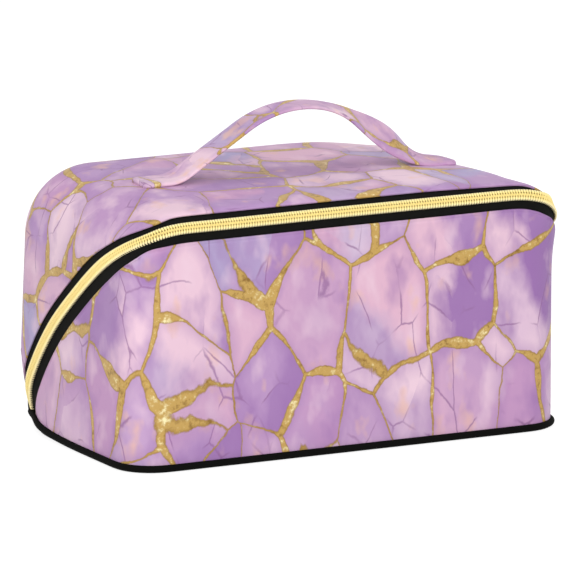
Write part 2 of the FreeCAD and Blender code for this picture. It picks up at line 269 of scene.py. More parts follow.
def brow_field(y, z):
    """Distance to the front wall, the two arcs of the brow, and the top behind them."""
    small_y = FRONT + BROW
    small_z = TOP - BROW_CROWN * (1 - math.cos(BROW_SLOPE)) - BROW * math.cos(BROW_SLOPE)
    wide_y = small_y + (BROW_CROWN - BROW) * math.sin(BROW_SLOPE)
    wide_z = TOP - BROW_CROWN
    before = rounded(small_y - BROW - y, z - small_z - BROW, BROW)
    wide = np.hypot(y - wide_y, z - wide_z) - BROW_CROWN
    behind = np.where(y < wide_y, wide, z - TOP)
    past = (y - small_y) * math.cos(BROW_SLOPE) + (z - small_z) * math.sin(BROW_SLOPE)
    return np.where((past < 0) | (z < small_z), before, behind)


def on_left(x):
    """1 at the left end and 0 on the right half, where the zip keeps to the slider's arc."""
    return fade(x, *LEFT_END)


def zip_dip(x, along):
    """How far the zip hangs below its arc, near the hinge and at the front corners."""
    low = ZIP_DIP * np.exp(-np.maximum(along, 0) / ZIP_DIP_LENGTH) * on_left(x)
    turn = hump(np.abs(x), HALF - FRONT_CORNER / 2, FRONT_CORNER / 2)
    front = (FRONT_DIP + CORNER_DIP * turn) * ease(along, *FRONT_DIP_SPAN)
    right = hump(along, RIGHT_DIP_AT, np.where(along < RIGHT_DIP_AT, *RIGHT_DIP_WIDTHS))
    right = RIGHT_CORNER_DIP * right * ease(x, HALF - FRONT_CORNER, HALF)
    return low + front + right


def zip_offset(p):
    """Distance from the zip's centre line, positive on the lid's side."""
    y, z = p[:, 1] - ZIP_Y, p[:, 2] - ZIP_Z
    along = ZIP_RADIUS * (np.arctan2(z, y) - HINGE_TURN)
    return np.hypot(y, z) - ZIP_RADIUS + zip_dip(p[:, 0], along)


def end_reach(y, z, away, left, right):
    """Half the length: the left end bulges low down, and the right one at its front corner."""
    bulge = END_BULGE * left * hump(y, *BULGE_PLACE) * fade(z, *BULGE_END)
    corner = RIGHT_BULGE + CORNER_PROUD * hump(away, 0.0, np.where(away < 0, *SWELL_WIDTHS))
    return HALF + bulge + corner * hump(y, *SWELL_PLACE) * right


def padding(x, y, away, left):
    """How far the skin stands out beside the zip: at the zip, over the left end, and as a roll."""
    proud = ZIP_PROUD * hump(away, *PROUD_PLACE) * fade(x, *PROUD_END)
    lean = LID_OVER * hump(away, *OVER_PLACE) - TUB_UNDER * hump(away, *UNDER_PLACE)
    lean *= left * ease(np.abs(x), *LEAN_SPAN_X) * ease(y, *LEAN_SPAN_Y)
    roll = LID_ROLL * hump(away, *ROLL_PLACE) * fade(y, *ROLL_END)
    return proud + lean + roll


def field(p):
    """Signed distance to the case's outside, negative inside."""
    x, y, z = p.T
    across = np.abs(x)
    away = zip_offset(p)
    left, right = on_left(x), ease(x, *RIGHT_SPAN)
    reach = end_reach(y, z, away, left, right)
    top = TOP + CROWN_RISE * fade(x, *CROWN_END) * ease(y, *CROWN_SPAN)
    top = top - RIGHT_DROP * right * ease(y, *DROP_SPAN)
    back_corner = BACK_CORNER + LOW_CORNER * fade(z, *LOW_CORNER_END)
    plan = rounded(across - reach, y - BACK, back_corner)
    crown = rounded(plan, z - top, SHOULDER + DROOP * right * ease(y, *DROOP_SPAN))
    walls = rounded(across - reach, FRONT - y, FRONT_CORNER)
    heel = rounded(y - BACK, -z, HEEL)
    corner = hump(across, *SOFT_PLACE_X) * hump(y, *SOFT_PLACE_Y)
    softness = SOFTNESS + corner * (LEFT_SOFTNESS * left + RIGHT_SOFTNESS * right)
    upper = soft_max(crown, brow_field(y, z - top + TOP), softness)
    return soft_max(soft_max(upper, walls), heel) - padding(x, y, away, left)


def normals(p):
    """Outward directions at points near the case's outside."""
    step = 0.0003
    slopes = [field(p + axis * step) - field(p - axis * step) for axis in np.eye(3)]
    return unit(np.stack(slopes, 1))


def on_skin(p, rise=0.0):
    """The points moved on to the case's outside, and then out by the rise."""
    for _ in range(6):
        p = p - normals(p) * field(p)[:, None]
    return p + normals(p) * np.reshape(rise, (-1, 1))


def hit(place, count, reach, depth=0.0, distance=field):
    """Where lines from inside come to a depth under the case's outside, or under another form.

    The place function gives the points at distances along the lines.
    """
    near = np.zeros(count)
    far = np.full(count, reach)
    for _ in range(36):
        middle = (near + far) / 2
        inside = distance(place(middle)) < -depth
        near = np.where(inside, middle, near)
        far = np.where(inside, far, middle)
    return place(near)


def resample(points, count):
    """Points spread evenly along a line of points."""
    steps = np.linalg.norm(np.diff(points, axis=0), axis=1)
    along = np.concatenate([[0], np.cumsum(steps)])
    places = np.linspace(0, 1, count) * along[-1]
    return np.stack([np.interp(places, along, points[:, i]) for i in range(3)], 1)


def length_of(points):
    """Length of a line of points."""
    return float(np.linalg.norm(np.diff(points, axis=0), axis=1).sum())


def seam_height(y):
    """Height of the seam on the walls: low along the front and ends, then squarely up at the heel."""
    back = np.clip((y - FRONT) / (SEAM_CENTRE_Y - FRONT), 0, 1)
    low = SEAM_FRONT + (SEAM_LOW - SEAM_FRONT) * back**4
    turn = np.clip((y - SEAM_CENTRE_Y) / SEAM_TURN, 0, 1)
    fall = (1 - turn**SEAM_SQUARE) ** (1 / SEAM_SQUARE)
    return np.where(y < SEAM_CENTRE_Y, low, SEAM_HIGH - (SEAM_HIGH - SEAM_LOW) * fall)


def outward(start, way):
    """Where lines from points inside meet the case's outside."""
    return hit(lambda t: start + way * t[:, None], len(start), 2 * HALF)


def seam_side(side):
    """The seam on one side, from the middle of the front round the end to the middle of the back."""
    turn = np.linspace(0, math.pi / 2, 160)
    start = np.zeros((len(turn), 3))
    start[:, 1] = SEAM_CENTRE_Y + SEAM_TURN * np.sin(turn) ** (2 / SEAM_SQUARE)
    start[:, 2] = SEAM_HIGH - (SEAM_HIGH - SEAM_LOW) * np.cos(turn) ** (2 / SEAM_SQUARE)
    rise = outward(start, side * ALONG_X)
    front, back = (math.atan2(p[1], abs(p[0])) for p in (rise[0], rise[-1]))
    parts = []
    for first, last, height in ((-math.pi / 2, front, SEAM_LOW), (back, math.pi / 2, SEAM_HIGH)):
        fan = np.linspace(first, last, 700)
        way = np.stack([side * np.cos(fan), np.sin(fan), np.zeros(len(fan))], 1)
        level = np.full(len(fan), height)
        for _ in range(6):
            found = outward(np.outer(level, [0, 0, 1]), way)
            level = np.where(found[:, 1] < SEAM_CENTRE_Y, seam_height(found[:, 1]), height)
        parts.append(found)
    return np.concatenate([parts[0][:-1], rise, parts[1][1:]])


def zip_line(count):
    """The zip's centre line, from the hinge at the left end round the front to the right end."""
    def on_arc(x, along):
        """Y and Z of the zip at a distance along its arc from the hinge."""
        turn = HINGE_TURN + along / ZIP_RADIUS
        radius = ZIP_RADIUS - zip_dip(x, along)
        return ZIP_Y + radius * np.cos(turn), ZIP_Z + radius * np.sin(turn)

    def leaves_seam(x):
        low, high = -0.02, 0.05
        for _ in range(40):
            along = (low + high) / 2
            y, z = on_arc(x, along)
            low, high = (along, high) if z < seam_height(y) else (low, along)
        return along

    fan = np.linspace(math.pi, 0, 2400)
    base = np.interp(np.cos(fan), (-1, 1), (leaves_seam(-HALF), leaves_seam(HALF)))

    def place(t):
        x = t * np.cos(fan)
        return np.stack([x, *on_arc(x, base + t * np.sin(fan))], 1)

    return resample(hit(place, len(fan), 3 * HALF), count)


def cross_row(left, right, way, count, depth=0.0):
    """A row across the case between two points of its ends, bowed out in one direction of Y and Z."""
    fan = np.linspace(math.pi, 0, 900)
    start = (left + right) / 2
    axis = (right - left) / np.linalg.norm(right - left)
    ray = np.cos(fan)[:, None] * axis + np.sin(fan)[:, None] * np.array([0, *way])
    return resample(hit(lambda t: start + ray * t[:, None], len(fan), 3 * HALF, depth), count)


def end_rows(edge, sign, columns, depth=0.0, step=2):
    """Rows between the two ends of an edge along the zip, on the lid's side (sign 1) or the other.

    The last row is the front of the edge. The left and right ends of the other rows are also returned.
    """
    corner = int(np.argmax(edge[:, 0] > -(HALF - FRONT_CORNER)))
    picks = np.unique(np.concatenate([np.arange(0, corner, step), [corner - 1]]))
    rows = []
    for index in picks:
        left, right = edge[index], edge[-1 - index]
        way = (left + right)[1:] / 2 - np.array([ZIP_Y, ZIP_Z])
        rows.append(cross_row(left, right, sign * way / np.linalg.norm(way), columns, depth))
    front = on_skin(resample(edge[corner:len(edge) - corner], columns), -depth)
    return rows + [front], edge[picks], edge[-1 - picks]


class ZipPath:
    """The zip's centre line, as shares of its length, points, tangents, normals and sides to the lid."""

    def __init__(self, count):
        self.share = np.linspace(0, 1, count)
        self.points = zip_line(count)
        self.normal = normals(self.points)
        tangent = np.gradient(self.points, axis=0)
        tangent -= self.normal * np.sum(tangent * self.normal, 1, keepdims=True)
        self.tangent = unit(tangent)
        self.side = np.cross(self.normal, self.tangent)

    def strip(self, offset, rise=0.0):
        """A line on the skin beside the zip, at an offset towards the lid and a rise above the skin."""
        return on_skin(self.points + self.side * np.reshape(offset, (-1, 1)), rise)


def new_material(name, **sockets):
    """A material with fixed values set, its node tree, its shader and the place on a piece."""
    material = bpy.data.materials.new(name)
    material.use_nodes = True
    tree = material.node_tree
    shader = tree.nodes["Principled BSDF"]
    for socket, value in sockets.items():
        shader.inputs[socket.replace("_", " ")].default_value = value
    return material, tree, shader, node(tree, "TexCoord").outputs["Object"]


def node(tree, kind, inputs=None, **settings):
    """A shader node; an input is a value or another node's output."""
    made = tree.nodes.new("ShaderNode" + kind)
    for key, value in settings.items():
        setattr(made, key, value)
    for key, value in (inputs or {}).items():
        if isinstance(value, bpy.types.NodeSocket):
            tree.links.new(value, made.inputs[key])
        else:
            made.inputs[key].default_value = value
    return made


def ramp(tree, value, stops):
    """A colour ramp; a stop is a place and a colour or a grey."""
    made = node(tree, "ValToRGB", {"Fac": value})
    elements = made.color_ramp.elements
    while len(elements) < len(stops):
        elements.new(0.5)
    for element, (place, colour) in zip(elements, stops):
        element.position = place
        element.color = (*colour, 1) if isinstance(colour, tuple) else (colour, colour, colour, 1)
    return made.outputs["Color"]


def mix(tree, share, first, second):
    """A mix of two colours, each three values or another node's output."""
    first, second = ((*c, 1) if isinstance(c, tuple) else c for c in (first, second))
    return node(tree, "Mix", {0: share, 6: first, 7: second}, data_type="RGBA").outputs[2]


def calc(tree, operation, *values, clamp=False):
    """The result of an operation on values or other nodes' outputs."""
    inputs = dict(enumerate(values))
    return node(tree, "Math", inputs, operation=operation, use_clamp=clamp).outputs[0]


def vector_math(tree, operation, *values):
    """The result of an operation on vectors."""
    return node(tree, "VectorMath", dict(enumerate(values)), operation=operation).outputs[0]


def noise(tree, vector, scale, detail=4.0, roughness=0.55, output="Fac"):
    """A cloudy noise."""
    inputs = {"Vector": vector, "Scale": scale, "Detail": detail, "Roughness": roughness}
    return node(tree, "TexNoise", inputs).outputs[output]


def voronoi(tree, vector, scale, feature):
    """Distances in a pattern of cells, by one of the pattern's features."""
    return node(tree, "TexVoronoi", {"Vector": vector, "Scale": scale}, feature=feature).outputs["Distance"]


def bump(tree, shader, height, strength, distance):
    """Gives a shader a fine relief."""
    made = node(tree, "Bump", {"Height": height, "Strength": strength, "Distance": distance})
    tree.links.new(made.outputs["Normal"], shader.inputs["Normal"])


def srgb(red, green, blue):
    """A colour given as it looks, from 0 to 255, as the shaders' linear values."""
    parts = []
    for value in (red, green, blue):
        share = value / 255
        parts.append(share / 12.92 if share <= 0.04045 else ((share + 0.055) / 1.055) ** 2.4)
    return tuple(parts)


VIOLET = srgb(150, 108, 168)
LILAC = srgb(180, 144, 190)
ORCHID = srgb(198, 150, 188)
PINK = srgb(220, 176, 198)
PALE_PINK = srgb(234, 204, 218)
PERIWINKLE = srgb(168, 158, 198)
PEACH = srgb(232, 186, 160)
PLUM = srgb(140, 96, 142)
GOLD_DARK = srgb(138, 104, 48)
GOLD_MID = srgb(194, 158, 88)
# Pale gold of painted glints on the foil
GOLD_GLINT = srgb(246, 234, 180)


def shaken(tree, vector, scale, detail, amount):
    """A shift by a noise of one scale, by up to half the amount either way."""
    cloud = noise(tree, vector, scale, detail, 0.6, "Color")
    cloud = vector_math(tree, "SUBTRACT", cloud, (0.5, 0.5, 0.5))
    return node(tree, "VectorMath", {0: cloud, "Scale": amount}, operation="SCALE").outputs[0]


def printed_colour(tree, cells, spread):
    """Watercolour shards: each cell runs from one hue to another, over facets with a few thin creases."""
    near = node(tree, "TexVoronoi", {"Vector": cells, "Scale": 1.0}, feature="F1")
    hue = node(tree, "SeparateColor", {"Color": near.outputs["Color"]})
    inward = vector_math(tree, "SUBTRACT", cells, near.outputs["Position"])
    heading = vector_math(tree, "MULTIPLY_ADD", near.outputs["Color"], (2, 2, 2), (-1, -1, -1))
    slope = node(tree, "VectorMath", {0: inward, 1: heading}, operation="DOT_PRODUCT")
    first = ramp(tree, hue.outputs[0], [
        (0.0, VIOLET), (0.22, LILAC), (0.42, ORCHID), (0.6, LILAC), (0.78, PINK), (1.0, PERIWINKLE)])
    second = ramp(tree, hue.outputs[1], [
        (0.0, PALE_PINK), (0.28, PINK), (0.5, LILAC), (0.7, PALE_PINK), (0.86, PERIWINKLE), (1.0, ORCHID)])
    wash = noise(tree, cells, 2.0, 4.0, 0.5)
    share = calc(tree, "ADD", calc(tree, "MULTIPLY", slope.outputs["Value"], 1.3), wash)
    facet = node(tree, "TexVoronoi", {"Vector": cells, "Scale": 1.45}, feature="F1")
    shade = node(tree, "SeparateColor", {"Color": facet.outputs["Color"]})
    share = calc(tree, "MULTIPLY_ADD", calc(tree, "SUBTRACT", shade.outputs[0], 0.5), 0.30, share)
    colour = mix(tree, ramp(tree, share, [(0.30, 0.0), (0.70, 1.0)]), first, second)

    brushed = node(tree, "Mapping", {"Vector": spread, "Rotation": (0.6, 0.9, 0.4),
                                     "Scale": (1.5, 1.1, 1.2)}).outputs["Vector"]
    streak = noise(tree, brushed, 1.5, 3.0, 0.5)
    colour = mix(tree, ramp(tree, streak, [(0.54, 0.0), (0.74, 0.6)]), colour, VIOLET)
    colour = mix(tree, ramp(tree, streak, [(0.28, 0.6), (0.46, 0.0)]), colour, PALE_PINK)
    glow = noise(tree, spread, 2.1, 3.0, 0.5)
    colour = mix(tree, ramp(tree, glow, [(0.60, 0.0), (0.72, 0.6)]), colour, PEACH)

    crease = voronoi(tree, cells, 1.45, "DISTANCE_TO_EDGE")
    crease = ramp(tree, crease, [(0.004, 0.9), (0.020, 0.0)])
    seldom = ramp(tree, noise(tree, spread, 2.2, 1.0), [(0.48, 0.0), (0.60, 0.8)])
    return mix(tree, calc(tree, "MULTIPLY", crease, seldom), colour, PLUM)


def printed_material(name, scale, shift):
    """Satin sheet printed with watercolour cells and veins of gold leaf with painted glints, with a fine grain.

    The scale gives cells per metre along each axis, so that cells are longer along one of them.
    """
    material, tree, shader, place = new_material(name, Specular_IOR_Level=0.25)
    spread = node(tree, "Mapping", {"Vector": place, "Location": shift, "Rotation": (0.12, 0.3, 0.15),
                                    "Scale": scale}).outputs["Vector"]
    bent = vector_math(tree, "ADD", spread, shaken(tree, spread, 0.9, 1.0, 0.45))
    cells = vector_math(tree, "ADD", bent, shaken(tree, spread, 7.0, 4.0, 0.05))
    colour = printed_colour(tree, cells, spread)

    edge = voronoi(tree, cells, 1.0, "DISTANCE_TO_EDGE")
    colour = mix(tree, ramp(tree, edge, [(0.02, 0.35), (0.14, 0.0)]), colour, VIOLET)
    broad = noise(tree, spread, 0.95, 2.0, 0.5)
    width = ramp(tree, broad, [(0.38, 0.011), (0.50, 0.020), (0.60, 0.050), (0.74, 0.105)])
    inside = calc(tree, "SUBTRACT", width, edge)
    vein = calc(tree, "MULTIPLY", inside, 110.0, clamp=True)
    # Gold leaf: the foil's own dark and middle tones at random, with pale flecks that are painted glints
    leaf = calc(tree, "MULTIPLY", noise(tree, place, 420.0, 4.0, 0.65), 0.5)
    flake = calc(tree, "MULTIPLY", noise(tree, place, 110.0, 4.0, 0.65), 0.5)
    leaf = calc(tree, "ADD", leaf, flake)
    gold = ramp(tree, leaf, [(0.36, GOLD_DARK), (0.47, GOLD_MID), (0.54, GOLD_MID), (0.66, GOLD_GLINT)])
    core = calc(tree, "MULTIPLY", inside, 45.0, clamp=True)
    gold = mix(tree, core, GOLD_DARK, gold)
    tree.links.new(mix(tree, vein, colour, gold), shader.inputs["Base Color"])

    grain = voronoi(tree, place, 1100.0, "DISTANCE_TO_EDGE")
    fine = noise(tree, place, 2300.0, 2.0, 0.5)
    height = calc(tree, "MULTIPLY_ADD", grain, 0.8, calc(tree, "MULTIPLY", fine, 0.3))
    bump(tree, shader, height, 0.10, 0.0002)
    rough = calc(tree, "MULTIPLY_ADD", fine, 0.12, 0.40)
    tree.links.new(calc(tree, "MULTIPLY_ADD", vein, -0.07, rough), shader.inputs["Roughness"])
    return material


def clouded_material(name, cloud, colours, rough, relief, pebbled=False, **sockets):
    """A material of uneven colour and gloss with a fine or pebbled grain.

    Cloud is the scale and detail of the unevenness, rough the range and the least of the roughness, and
    relief the scale, strength and depth of the grain.
    """
    material, tree, shader, place = new_material(name, **sockets)
    uneven = noise(tree, place, *cloud)
    tree.links.new(mix(tree, uneven, *colours), shader.inputs["Base Color"])
    tree.links.new(calc(tree, "MULTIPLY_ADD", uneven, *rough), shader.inputs["Roughness"])
    scale, *depth = relief
    grain = voronoi(tree, place, scale, "SMOOTH_F1") if pebbled else noise(tree, place, scale, 2.0)
    bump(tree, shader, grain, *depth)
    return material


def weave_material(name, dark, light, threads, strength=0.5, sheen=0.03):
    """Woven cloth: two crossed sets of threads, with uneven colour; threads are counted per metre."""
    material, tree, shader, place = new_material(name, Roughness=0.85, Specular_IOR_Level=0.1,
                                                 Sheen_Weight=sheen, Sheen_Roughness=0.5)
    waves = []
    for direction in ("X", "Y", "Z"):
        wave = node(tree, "TexWave", {"Vector": place, "Scale": threads / 20, "Distortion": 1.2,
                                      "Detail": 1.0}, wave_type="BANDS", bands_direction=direction)
        waves.append(wave.outputs["Fac"])
    height = calc(tree, "ADD", calc(tree, "MULTIPLY", waves[0], waves[2]), waves[1])
    cloud = noise(tree, place, 260.0, 5.0, 0.7)
    tree.links.new(mix(tree, cloud, dark, light), shader.inputs["Base Color"])
    bump(tree, shader, height, strength, 0.0002)
    return material


def coil_material():
    """Gold nylon coil, paler along its outer edges as painted highlight, over a cord painted dark olive as shade
    between the turns.
    """
    material, tree, shader, place = new_material("gold_coil", Metallic=0.1, Specular_IOR_Level=0.4)
    streak = noise(tree, place, 420.0, 3.0)
    across = node(tree, "Attribute", attribute_name="across").outputs["Fac"]
    # Painted highlight: the turns grow paler towards their outer edges
    colour = ramp(tree, across, [
        (0.0, srgb(255, 234, 152)), (0.4, srgb(255, 236, 156)), (0.8, srgb(255, 243, 190)),
        # Dark olive for the cord: painted shade in the gaps between the turns
        (1.0, srgb(150, 128, 62))])
    colour = mix(tree, calc(tree, "MULTIPLY", streak, 0.18), colour, srgb(226, 170, 74))
    tree.links.new(colour, shader.inputs["Base Color"])
    tree.links.new(calc(tree, "MULTIPLY_ADD", streak, 0.15, 0.26), shader.inputs["Roughness"])
    bump(tree, shader, streak, 0.08, 0.0002)
    return material


# Cells per metre along the three axes: taller than wide on the walls, long across the lid and strap
WALL_PRINT = printed_material("printed_walls", (27.0, 26.0, 18.0), (0.7, 0.2, 0.1))
LID_PRINT = printed_material("printed_lid", (26.0, 27.0, 25.0), (2.3, 1.1, 0.4))
STRAP_PRINT = printed_material("printed_strap", (34.0, 38.0, 36.0), (4.2, 0.3, 2.6))
BLACK_PU = clouded_material("black_pu", (60.0, 3.0), (srgb(10, 10, 10), srgb(20, 19, 19)), (0.2, 0.42),
                            (900.0, 0.25, 0.0003), pebbled=True, Specular_IOR_Level=0.16)
WELT = clouded_material("black_welt", (140.0, 3.0), (srgb(5, 5, 4), srgb(13, 13, 11)), (0.15, 0.7),
                        (700.0, 0.12, 0.0003), Specular_IOR_Level=0.05)
TAPE = weave_material("black_tape", srgb(6, 6, 5), srgb(20, 20, 18), 9000.0, 0.4, 0.0)
COIL = coil_material()
METAL = clouded_material("gold_metal", (300.0, 4.0), (srgb(222, 176, 88), srgb(246, 214, 140)), (0.2, 0.16),
                         (1500.0, 0.05, 0.0002), Metallic=1.0)
LINING = weave_material("lining_cloth", srgb(24, 23, 26), srgb(46, 44, 50), 5200.0, 0.1)
DIVIDER = weave_material("divider_cloth", srgb(28, 27, 30), srgb(52, 50, 56), 3600.0)
ELASTIC = weave_material("elastic", srgb(16, 16, 17), srgb(42, 42, 44), 2400.0, 0.8)
HOOKS = weave_material("hook_and_loop", srgb(14, 14, 15), srgb(40, 40, 42), 2600.0, 1.0, 0.3)

PATH = ZipPath(640)
SLIDER_PLACE = np.argmin(np.linalg.norm(PATH.points - np.array(SLIDER_AT), axis=1))
SEAM_LEFT = seam_side(-1)
SEAM_RIGHT = seam_side(1)
SEAM = np.concatenate([SEAM_RIGHT, SEAM_LEFT[::-1]])


def tub_skin():
    """Printed walls of the lower half: upright columns under the zip, with a turned top edge."""
    inner = 0.03
    top = PATH.strip(-LOWER_EDGE + SKIN_LIP[0][0])
    flat = PATH.strip(-LOWER_EDGE)
    out = unit(normals(flat) * np.array([1, 1, 0]))
    start = top - out * inner
    count = len(top)

    def wall(height):
        level = start.copy()
        level[:, 2] = height
        return hit(lambda t: level + out * t[:, None], count, 2 * inner)

    foot = np.minimum(seam_height(wall(SEAM_LOW)[:, 1]), top[:, 2])
    rows = [wall(foot + share * (top[:, 2] - foot)) for share in np.linspace(0, 1, 60)]
    rows += [PATH.strip(-LOWER_EDGE + across, rise) for across, rise in SKIN_LIP]
    piece = add_grid("tub_skin", rows, WALL_PRINT, "tub")
    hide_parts("tub_shell")


def lid_rows(edge, columns):
    """Rows of the lid from the seam at the back over the top to the zip."""
    clearance, fade_length = 0.003, 0.12
    shares = np.linspace(0, 1, columns)
    rows, left, right = end_rows(edge, 1, columns)
    clear = next(i for i, row in enumerate(rows) if row[columns // 2, 2] > SEAM_HIGH + clearance)
    seam = resample(SEAM[zip_offset(SEAM) > UPPER_EDGE][::-1], columns)
    near_end = 1 - np.clip(np.minimum(shares, 1 - shares) / fade_length, 0, 1)
    near_left = (shares < 0.5)[:, None]
    lifted = []
    for i in range(clear):
        row = seam + i / clear * (rows[clear] - seam)
        pull = np.where(near_left, left[i] - row[0], right[i] - row[-1])
        lifted.append(on_skin(row + near_end[:, None] * pull))
    return lifted + rows[clear:]


def lid_skin():
    """Printed top, back and ends of the lid, with an edge turned in along the zip."""
    columns = 260
    edge = PATH.strip(UPPER_EDGE)
    above = edge[:, 2] > seam_height(edge[:, 1])
    corners = SEAM[zip_offset(SEAM) > UPPER_EDGE][[-1, 0]]
    edge = np.concatenate([corners[:1], edge[above], corners[1:]])
    rows = lid_rows(resample(edge, len(PATH.points)), columns)
    piece = add_grid("lid_skin", rows, LID_PRINT, "hinge")
    lip = [PATH.strip(UPPER_EDGE - across, rise)[above] for across, rise in SKIN_LIP]
    hem = add_grid("lid_hem", lip, LID_PRINT, "hinge")
    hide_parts("lid_shell")


def sweep(name, points, side, up, profile, material, body):
    """A piece of one closed profile along a line; a profile point is a distance aside and one up."""
    rings = np.stack([points + side * aside + up * rise for aside, rise in profile], 1)
    return add_mesh(name, rings.reshape(-1, 3), tube_faces(*rings.shape[:2]), material, body)


def zip_tapes():
    """Black tape from under the edge of each shell to the coil."""
    for name, sign, edge, body, stands_for in (
            ("tape_lower", -1, LOWER_EDGE, "tub", "zipper_tape_lower"),
            ("tape_upper", 1, UPPER_EDGE, "hinge", "zipper_tape_upper")):
        rows = []
        for share in np.linspace(0, 1, 12):
            across = TAPE_GAP + share * (edge + TAPE_UNDER)
            rows.append(PATH.strip(sign * across, -TAPE_DEPTH - TAPE_STEP * (across > COIL_HALF)))
        piece = add_grid(name, rows, TAPE, body)
        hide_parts(stands_for)


# One turn of the coil, from the tape to its head past the centre line: a distance across, a height above
# the tape, half the width along the zip and half the height of the wire
COIL_TURN = (
    (COIL_HALF, 0.0, 0.00040, 0.00020),
    (COIL_HALF * 0.97, 0.00075, 0.00050, 0.00040),
    (COIL_HALF * 0.86, 0.00110, 0.00069, 0.00045),
    (COIL_HALF * 0.50, 0.00118, 0.00070, 0.00045),
    (COIL_HALF * 0.38, 0.00118, 0.00036, 0.00045),
    (-COIL_HALF * 0.12, 0.00118, 0.00034, 0.00042),
    (-COIL_HALF * 0.22, 0.00095, 0.00018, 0.00020),
)


def coil_turns(sign, places):
    """Points, faces and shades of separate turns, each leaning a little along the zip.

    The places are shares of the zip's length. A shade is a painted highlight's strength, growing from 0 on the
    centre line towards the tape.
    """
    # The last value is the painted highlight's strength at a turn's outer edge
    around, lean, edge_highlight = 8, 0.0003, 0.8

    def at(values):
        return np.stack([np.interp(places, PATH.share, values[:, i]) for i in range(3)], 1)

    points, along, side, up = map(at, (PATH.points, PATH.tangent, PATH.side, PATH.normal))
    rings, shades = [], []
    for across, rise, wide, high in COIL_TURN:
        share = abs(across) / COIL_HALF
        middle = points + side * (sign * across) + up * (rise - TAPE_DEPTH) + along * (lean * (1 - share))
        for turn in full_turn(around):
            rings.append(middle + along * (wide * math.cos(turn)) + up * (high * math.sin(turn)))
            shades.append(edge_highlight * share)
    size = len(rings)
    turn_faces = tube_faces(len(COIL_TURN), around)
    faces = [tuple(i * size + v for v in face) for i in range(len(places)) for face in turn_faces]
    return np.stack(rings, 1).reshape(-1, 3), faces, np.tile(shades, len(places))


def coil(name, sign, body, stands_for, start, end):
    """One row of the zip's coil, as turns over a flat cord, whose shade is 1: the dark olive of painted shade
    between the turns.
    """
    total = length_of(PATH.points)
    count = int((end - start) * total / COIL_PITCH)
    places = start + (np.arange(count) + (0.25 if sign < 0 else 0.75)) * COIL_PITCH / total
    points, faces, shade = coil_turns(sign, places)
    reached = (PATH.share >= start) & (PATH.share <= end)
    cord = [PATH.strip(sign * across, CORD_RISE - TAPE_DEPTH)[reached] for across in (0.0, CORD_HALF)]
    faces += [tuple(len(points) + v for v in face) for face in grid_faces(2, reached.sum())]
    piece = add_mesh(name, np.concatenate([points, *cord]), faces, COIL, body)
    # The cord's shade of 1 paints it dark olive, as shade between the turns
    shade = np.concatenate([shade, np.ones(2 * reached.sum())])
    piece.data.attributes.new("across", "FLOAT", "POINT").data.foreach_set("value", shade)
    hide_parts(stands_for)


def base_wrap():
    """Black base that turns up round the heel to the lid's back."""
    sides = []
    for line in (SEAM_LEFT, SEAM_RIGHT):
        end = np.abs(line[:, 0]) > np.where(line[:, 1] < 0, HALF - FRONT_CORNER, HALF - BACK_CORNER)
        sides.append(resample(line[end], 130))
    rows = []
    for ends in zip(*sides):
        y, z = (ends[0] + ends[1])[1:] / 2
        way = np.array([0.0, -1.0])
        if y > SEAM_CENTRE_Y:
            way = np.array([y - SEAM_CENTRE_Y, z - SEAM_HIGH])
        proud = BASE_PROUD * ease(y, SEAM_CENTRE_Y, SEAM_CENTRE_Y + BASE_PROUD_LENGTH)
        rows.append(cross_row(*ends, way / np.linalg.norm(way), 200, -proud))
    piece = add_grid("base_wrap", rows, BLACK_PU, "hinge")
    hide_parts("base_panel", "heel_panel", "spine_hinge")


def welts():
    """Piping along the seam: one length round the base and one across the lid's back."""
    offset = zip_offset(SEAM)
    gap = 0.0008
    first_lid = int(np.argmax(offset > gap))
    last_lid = len(SEAM) - int(np.argmax(offset[::-1] > gap))
    lid_part = SEAM[first_lid:last_lid]
    tub_loop = np.concatenate([SEAM[last_lid:-1], SEAM[:first_lid]])
    tub_part = tub_loop[zip_offset(tub_loop) < -gap]
    for name, part, radius, body, stands_for, count in (
            ("base_welt", tub_part, BASE_WELT, "tub", "base_piping", 460),
            ("lid_welt", lid_part, LID_WELT, "hinge", "lid_piping", 300)):
        profile = oval(14, radius, radius, radius / 4)
        line = resample(part, count)
        out = normals(line)
        piece = sweep(name, line, np.cross(out, tangents(line)), out, profile, WELT, body)
        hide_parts(stands_for)


# Strap handle: flat feet, bends to two sloping legs, and a round crown between them
STRAP_LOW, STRAP_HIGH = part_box("handle_cover")
STRAP_WIDTH = 0.020
STRAP_THICK = 0.0019
STRAP_FEET = (0.014, 0.008)
STRAP_CORNERS = (0.003, 0.003)
STRAP_FOOT_THICK = 0.0030
STRAP_FOOT_END = (0.002, 0.03)
STRAP_SLOPE = math.radians(32.5)
STRAP_FOOT_BENDS = (0.022, 0.036)
STRAP_CROWN_BEND = 0.060


